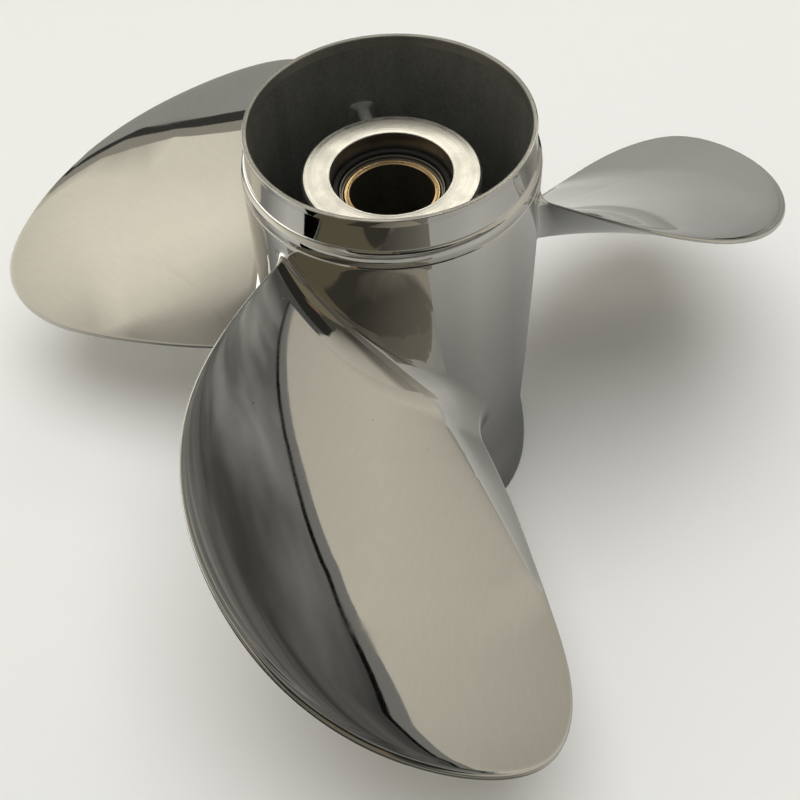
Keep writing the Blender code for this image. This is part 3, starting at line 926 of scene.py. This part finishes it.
class PROPELLER_OT_hub(bpy.types.Operator):
    """Build the inner hub with the rubber bush, the bush core and the shaft sleeve in it"""
    bl_idname = "propeller.hub"
    bl_label = "Inner Hub"

    def execute(self, context):
        hub = context.scene.propeller_hub

        def ring(name, outline, material, node, slot, segments=INSERT_SEGMENTS):
            return turned(name, rounded_outline(outline(hub)), segments, material, node, slot)

        tube = ring(
            "inner_hub_tube", hub_outline, turned_steel(), "inner_hub", "machined_steel", HUB_SEGMENTS)
        dress_rings(tube, HUB_SEGMENTS, (stained_steel(), HUB_BORE_RING, HUB_BORE_RING))
        ring("bush_core_ring", core_outline, greasy_steel(), "bush_core", "machined_steel")
        ring("rubber_bush_ring", bush_outline, moulded_rubber(), "rubber_bush", "rubber")
        sleeve = ring("shaft_sleeve_tube", sleeve_outline, bright_bronze(), "shaft_sleeve", "bronze")
        dress_rings(sleeve, INSERT_SEGMENTS, (dark_bore(), SLEEVE_BORE_FIRST, SLEEVE_BORE_LAST))
        return {"FINISHED"}


class PROPELLER_OT_ribs(bpy.types.Operator):
    """Build the three ribs that carry the inner hub"""
    bl_idname = "propeller.ribs"
    bl_label = "Ribs"

    def execute(self, context):
        hub = context.scene.propeller_hub
        for number in range(BLADE_COUNT):
            angle = hub.rib_angle + number * BLADE_STEP
            points, faces = rib_mesh(context.scene.propeller_barrel, hub, angle)
            name = f"rib_{number + 1}"
            add_piece(f"{name}_plate", points, faces, cast_wall(), name)
        return {"FINISHED"}


# Studio cards. Places run along an upright card and heights up it. Angles, in degrees, and
# radii are taken round the shaft axis. A shade is a card's brightness.

WARM = (1.0, 0.95, 0.81)
COOL = (1.0, 1.0, 0.94)
OLIVE = (1.0, 0.90, 0.62)
ROSE = (1.0, 0.55, 0.38)
SKYLINE = ((-0.435, 0.55), (-0.425, 0.72), (-0.40, 0.89), (-0.34, 1.01), (-0.25, 1.085), (-0.16, 1.125),
           (-0.03, 1.165), (0.09, 1.178), (0.20, 1.172), (0.30, 1.195), (0.40, 1.235), (0.70, 1.31),
           (1.3, 1.32))
AIR_SHADES = ((0.56, 0.045), (0.63, 0.19), (0.77, 0.20), (0.84, 0.115), (0.90, 0.135), (0.98, 0.21))
# FLOOR_SHADES is the mirrored floor's brightness by radius: the dim rings close to the part are a painted
# shadow of it
FLOOR_RADII = (0.050, 0.080, 0.130, 0.190, 0.280, 0.450, 1.000, 1.700)
FLOOR_SHADES = (0.10, 0.20, 0.30, 0.47, 0.53, 0.60, 0.52, 0.40)
FLOOR_WAYS = (0.0, 35.0, 54.0, 72.0, 100.0, 150.0, 165.0, 189.0, 215.0, 260.0, 305.0, 325.0, 360.0)
FLOOR_SHARES = (0.97, 1.05, 0.82, 0.82, 1.05, 0.50, 0.53, 1.27, 1.0, 0.80, 0.95, 1.15, 0.97)
FLOOR_REACH = 3.0
PALE_PAPER = (0.86, 0.86, 0.85, 1.0)
DEEP_PAPER = (0.36, 0.36, 0.34, 1.0)
LAMP_SIZE = 2.0
LAMP_HEIGHT = 2.2
SKYLINE_STEPS = 90
FLOOR_STEPS = 49
NEAREST_SEEN = 0.01


def bare_material(name):
    """A new material whose node tree is empty."""
    material = bpy.data.materials.new(name)
    material.use_nodes = True
    material.node_tree.nodes.clear()
    return material


def card_glow():
    """One emitting material for every studio card: each corner's own colour, faded between."""
    material = bpy.data.materials.get("card_glow")
    if material:
        return material
    material = bare_material("card_glow")
    tree = material.node_tree
    tint = add_node(tree, "Attribute", attribute_name="glow")["Color"]
    glow = add_node(tree, "Emission", {"Color": tint})[0]
    add_node(tree, "OutputMaterial", {"Surface": glow})
    return material


def card(name, points, tints, dark=False):
    """A studio card that the camera doesn't see: it is mirrored, and lights too unless dark.
    points is a rows x columns grid of places, and tints is one colour or one for each."""
    faces = grid_faces(*points.shape[:2]).tolist()
    piece = add_mesh(name, points.reshape(-1, 3), faces, card_glow())
    colours = np.ones((*points.shape[:2], 4))
    colours[..., :3] = tints
    glow = piece.data.attributes.new("glow", "FLOAT_COLOR", "POINT")
    glow.data.foreach_set("color", colours.ravel())
    piece.visible_camera = False
    piece.visible_shadow = False
    piece.visible_diffuse = not dark


def shade(values, tint=WARM):
    """Card colours: each shade times the tint."""
    return np.asarray(values, float)[..., None] * np.array(tint)


def upright(facing, distance, places, heights):
    """Points of the upright plane at this distance from the shaft axis in the way facing."""
    facing = math.radians(facing)
    out = np.array([math.cos(facing), math.sin(facing), 0.0]) * distance
    side = np.array([-math.sin(facing), math.cos(facing), 0.0])
    up = np.array([0.0, 0.0, 1.0])
    places, heights = np.broadcast_arrays(np.asarray(places, float), np.asarray(heights, float))
    return out + places[..., None] * side + heights[..., None] * up


def panel(facing, distance, places, heights):
    """The four corners of an upright rectangle between two places and two heights."""
    return upright(facing, distance, *np.meshgrid(places, heights))


def curved(angles, heights, radius=1.0):
    """Points of an upright round wall: one row of angles for all heights or one for each."""
    return axis_points(radius, np.radians(angles), np.array(heights)[:, None])


def level(angles, rings):
    """Points round the shaft axis at each angle, one row for each (radius, height)."""
    rings = np.asarray(rings, float)
    return axis_points(rings[:, :1], np.radians(angles), rings[:, 1:])


def right_wall():
    """The pale wall that the near blade mirrors, with the black line and the dimmer band
    that follow its skyline. Each card is the same skyline, moved along and up."""
    facing = -10.0
    knots = np.linspace(0.0, 1.0, len(SKYLINE))
    t = np.linspace(0.0, 1.0, SKYLINE_STEPS)
    places = natural_spline(knots, np.array(SKYLINE)[:, 0], t)
    heights = natural_spline(knots, np.array(SKYLINE)[:, 1], t)
    pale = np.interp(places, (-0.45, -0.30, 0.15, 0.45, 0.85), (0.57, 0.59, 0.71, 0.62, 0.45))
    layers = (
        ("right_wall", 1.0, 0.035, -0.075, shade(pale), False),
        ("right_wall_band", 1.001, 0.006, -0.013, shade(0.23, COOL), False),
        ("right_wall_line", 1.002, -0.006, 0.013, shade(0.004, COOL), True),
    )
    for name, distance, aside, above, tints, dark in layers:
        foot_and_top = np.outer((0.0, 1.0), heights + above)
        card(name, upright(facing, distance, places + aside, foot_and_top), tints, dark)


def front_wall():
    """The wall that the blade's root and the barrel's dark patch mirror: dim at its foot."""
    distance = 0.88
    places = np.array((-0.53, -0.38, -0.23, -0.10, 0.02, 0.16, 0.36, 0.62))
    foot = (0.06, 0.09, 0.14, 0.18, 0.21, 0.25, 0.30, 0.36)
    upper = (0.10, 0.22, 0.35, 0.44, 0.50, 0.56, 0.60, 0.64)
    tops = np.array((0.22, 0.31, 0.41, 0.47, 0.52, 0.59, 0.66, 0.72))
    flat = np.ones(len(places))
    heights = np.stack([0.0 * flat, 0.13 * flat, np.minimum(0.24, 0.8 * tops), tops])
    tints = shade([foot, foot, upper, upper])
    card("front_wall", upright(300.0, distance, places * distance, heights), tints, True)
    card("front_soffit", curved((236.0, 262.0, 285.0, 308.0), (0.40, 1.15)), shade(0.03), True)
    for name, turn, low, high in (("rose_near", 268.0, 0.33, 0.46), ("rose_far", 237.0, 0.80, 1.0)):
        card(name, curved((turn - 1.8, turn + 1.8), (low, high), 0.97), shade(0.34, ROSE), True)
    card("front_wall_dim", panel(270.0, 1.0, (-0.09, 0.24), (0.0, 0.45)), shade(0.08))
    card("front_wall_olive", panel(250.0, 1.0, (-0.20, 0.26), (-0.02, 0.42)), shade(0.21, OLIVE))


def left_wall():
    """The cream wall round the left that the left blade mirrors, dimmer towards the front,
    with a grey panel and a dark slanted post beside it and a grey wall beyond the post."""
    heights = (0.0, 0.35, 0.50, 0.62, 0.70, 0.80, 0.95, 1.15, 2.6)
    edge = (135.6, 137.8, 139.35, 140.2, 142.1, 144.2, 146.6, 150.0, 150.0)
    joint = (131.8, 134.8, 137.1, 138.6, 140.0, 142.0, 144.3, 148.0, 148.0)
    post = (129.0, 132.4, 135.0, 137.1, 138.3, 140.0, 142.5, 146.2, 146.2)
    beyond = 102.0
    ways = (149.0, 156.0, 164.0, 172.0, 180.0, 188.0, 196.0, 204.0, 212.0, 222.0, 234.0)
    rows = (0.38, 0.60, 0.97, 1.0, 1.0, 0.98, 0.96, 0.88, 0.45)
    columns = (0.94, 0.99, 1.07, 1.10, 1.02, 0.82, 0.70, 0.62, 0.55, 0.46, 0.34, 0.60)
    tints = np.outer(rows, columns)
    tints[4:, 0] *= 0.7
    card("left_wall", curved([(turn, *ways) for turn in edge], heights), shade(tints))
    card("left_wall_panel", curved(np.column_stack([joint, edge]), heights), shade(0.36))
    card("left_wall_post", curved(np.column_stack([post, joint]), heights), shade(0.05, COOL), True)
    card("left_wall_beyond", curved([(beyond, turn) for turn in post], heights), shade(0.38, COOL))


def back_wall():
    """A bright window for the hub's turned face, and the low wall behind the part."""
    card("back_window", panel(90.0, 1.2, (-1.2, 1.2), (1.12, 1.58)), shade(2.2))
    card("back_window_top", panel(90.0, 1.2, (-0.6, 0.6), (1.58, 2.5)), shade(2.1), True)
    foot = (0.35, 0.45, 0.475, 0.455, 0.43, 0.43)
    top = (0.42, 0.44, 0.46, 0.47, 0.48, 0.48)
    ways = (50.0, 62.0, 70.0, 78.0, 86.0, 128.0)
    card("back_wall", curved(ways, (0.0, 0.55), 1.25), shade((foot, top), COOL))


def mirrored_floor():
    """What the steel mirrors of the floor: dim beside the part, a painted shadow of it, paler
    outwards, with a deep shade in front on the left and a bright strip low on the left. No
    card of it lights."""
    angles = np.linspace(0.0, 360.0, FLOOR_STEPS)
    shares = np.interp(angles, FLOOR_WAYS, FLOOR_SHARES)
    floor = [(radius, 0.001) for radius in FLOOR_RADII]
    front = (212.0, 222.0, 256.0, 275.0, 300.0, 320.0, 338.0)
    front_shades = (0.35, 0.10, 0.12, 0.20, 0.27, 0.38, 0.53)
    right = (26.0, 38.0, 48.0, 59.0, 70.0, 86.0, 100.0)
    right_rings = [(radius, 0.002) for radius in (0.20, 0.32, 0.45, 1.0, 1.25)]
    sheen = np.outer((1.15, 0.94, 0.82, 0.74, 0.72), (0.48, 0.36, 0.46, 0.61, 0.66, 0.60, 0.56))
    layers = (
        ("mirrored_floor", angles, floor, shade(np.outer(FLOOR_SHADES, shares), COOL)),
        ("front_floor", front, ((0.40, 0.002), (1.7, 0.004)), shade(front_shades)),
        ("deep_shade", (202.0, 228.0, 258.0, 290.0), ((0.20, 0.003), (0.34, 0.003)),
         shade((0.0, 0.01, 0.07, 0.22), (1.0, 0.95, 0.8))),
        ("right_sheen", right, right_rings, shade(sheen, COOL)),
        ("edge_shade", (186.0, 200.0, 240.0, 262.0), ((0.09, 0.0025), (0.20, 0.0025)),
         shade((0.25, 0.05, 0.05, 0.15))),
        ("low_strip", (125.0, 155.0, 185.0, 207.0), ((0.42, 0.004), (0.95, 0.13)),
         shade((2.0, 2.0, 2.0, 0.8), (1.0, 0.98, 0.92))),
    )
    for name, ways, rings, tints in layers:
        card(name, level(ways, rings), tints, True)


def floor_paper():
    """Pale paper for the camera; its mirror image in the steel is a deeper grey."""
    material = bare_material("floor_paper")
    tree = material.node_tree
    mirrored = add_node(tree, "LightPath")["Is Glossy Ray"]
    pale = add_node(tree, "BsdfDiffuse", {"Color": PALE_PAPER})[0]
    deep = add_node(tree, "BsdfDiffuse", {"Color": DEEP_PAPER})[0]
    mixed = add_node(tree, "MixShader", {0: mirrored, 1: pale, 2: deep})[0]
    add_node(tree, "OutputMaterial", {"Surface": mixed})
    return material


def studio_air(tree):
    """The dim room round the cards: dark at the horizon, soft grey overhead, brighter in
    front than behind, with slow streaks such as an uneven ceiling gives."""
    place = add_node(tree, "TexCoord")["Generated"]
    split = add_node(tree, "SeparateXYZ", {0: place})
    ramp = tree.nodes.new("ShaderNodeValToRGB")
    steps = ramp.color_ramp.elements
    while len(steps) < len(AIR_SHADES):
        steps.new(1.0)
    for step, (rise, value) in zip(steps, AIR_SHADES):
        step.position = rise
        step.color = (*shade(value, COOL), 1.0)
    tree.links.new(split["Z"], ramp.inputs["Fac"])
    streaks = add_node(tree, "TexNoise", {
        "Vector": stretched(tree, place, (2.5, 2.5, 9.0)), "Scale": 1.6, "Detail": 2.0})["Fac"]
    uneven = between(tree, streaks, 0.35, 0.65, 0.55, 1.35)
    forward = between(tree, split["Y"], -0.5, 0.15, 1.85, 0.5)
    back = tree.nodes["Background"]
    tree.links.new(ramp.outputs["Color"], back.inputs["Color"])
    tree.links.new(calculate(tree, "MULTIPLY", uneven, forward), back.inputs["Strength"])


def stage_floor():
    corners = [(x * FLOOR_REACH, y * FLOOR_REACH, 0.0) for x, y in ((-1, -1), (1, -1), (1, 1), (-1, 1))]
    floor = add_mesh("floor", corners, [(0, 1, 2, 3)], floor_paper())


def stage_lamp(scene):
    """A soft lamp overhead that isn't mirrored."""
    lamp = bpy.data.lights.new("overhead", "AREA")
    lamp.shape = "RECTANGLE"
    lamp.size = LAMP_SIZE
    lamp.size_y = LAMP_SIZE
    lamp.energy = scene.propeller_stage.power
    overhead = add_object("overhead", lamp)
    overhead.location = (0.0, 0.0, LAMP_HEIGHT)
    overhead.visible_glossy = False


def stage_camera(scene):
    """The camera at the photograph's place. It stands back from the point above the aft rim
    by its distance, looks along line at that point and is rolled round line."""
    stage = scene.propeller_stage
    line = Vector((0.0, math.cos(stage.elevation), -math.sin(stage.elevation)))
    across = Vector((1.0, 0.0, 0.0))
    up = across.cross(line)
    right = across * math.cos(stage.roll) + up * math.sin(stage.roll)
    upward = -across * math.sin(stage.roll) + up * math.cos(stage.roll)
    data = bpy.data.cameras.new("camera")
    data.lens = stage.lens
    data.shift_x = stage.shift_x
    data.shift_y = stage.shift_y
    data.clip_start = NEAREST_SEEN
    camera = add_object("camera", data)
    place = Vector((stage.aside, 0.0, stage.above)) - line * stage.distance
    turned_to = Matrix((right, upward, -line)).transposed().to_4x4()
    camera.matrix_world = Matrix.Translation(place) @ turned_to
    scene.camera = camera


class PROPELLER_OT_stage(bpy.types.Operator):
    """Add the floor, the soft studio lights and the camera at the photograph's place"""
    bl_idname = "propeller.stage"
    bl_label = "Stage"

    def execute(self, context):
        scene = context.scene
        scene.view_settings.view_transform = "Standard"
        scene.world = bpy.data.worlds.new("studio")
        scene.world.use_nodes = True
        studio_air(scene.world.node_tree)
        for build in (stage_floor, right_wall, front_wall, left_wall, back_wall, mirrored_floor):
            build()
        stage_lamp(scene)
        stage_camera(scene)
        return {"FINISHED"}


class PROPELLER_PT_panel(bpy.types.Panel):
    """Lists the pieces' operators"""
    bl_idname = "PROPELLER_PT_panel"
    bl_label = "Propeller"
    bl_space_type = "VIEW_3D"
    bl_region_type = "UI"
    bl_category = "Propeller"

    def draw(self, context):
        for operator in PIECES:
            self.layout.operator(operator.bl_idname)


PIECES = (PROPELLER_OT_barrel, PROPELLER_OT_blades, PROPELLER_OT_hub, PROPELLER_OT_ribs, PROPELLER_OT_stage)
SETTINGS = {
    "propeller_barrel": PROPELLER_PG_barrel,
    "propeller_blade": PROPELLER_PG_blade,
    "propeller_hub": PROPELLER_PG_hub,
    "propeller_finish": PROPELLER_PG_finish,
    "propeller_stage": PROPELLER_PG_stage,
}


def register():
    for kind in (*SETTINGS.values(), *PIECES, PROPELLER_PT_panel):
        bpy.utils.register_class(kind)
    for name, kind in SETTINGS.items():
        setattr(bpy.types.Scene, name, bpy.props.PointerProperty(type=kind))


def unregister():
    for name in SETTINGS:
        delattr(bpy.types.Scene, name)
    for kind in (PROPELLER_PT_panel, *reversed(PIECES), *SETTINGS.values()):
        bpy.utils.unregister_class(kind)


def main():
    register()
    bpy.ops.propeller.barrel()
    bpy.ops.propeller.blades()
    bpy.ops.propeller.hub()
    bpy.ops.propeller.ribs()
    bpy.ops.propeller.stage()


if __name__ == "__main__":
    main()
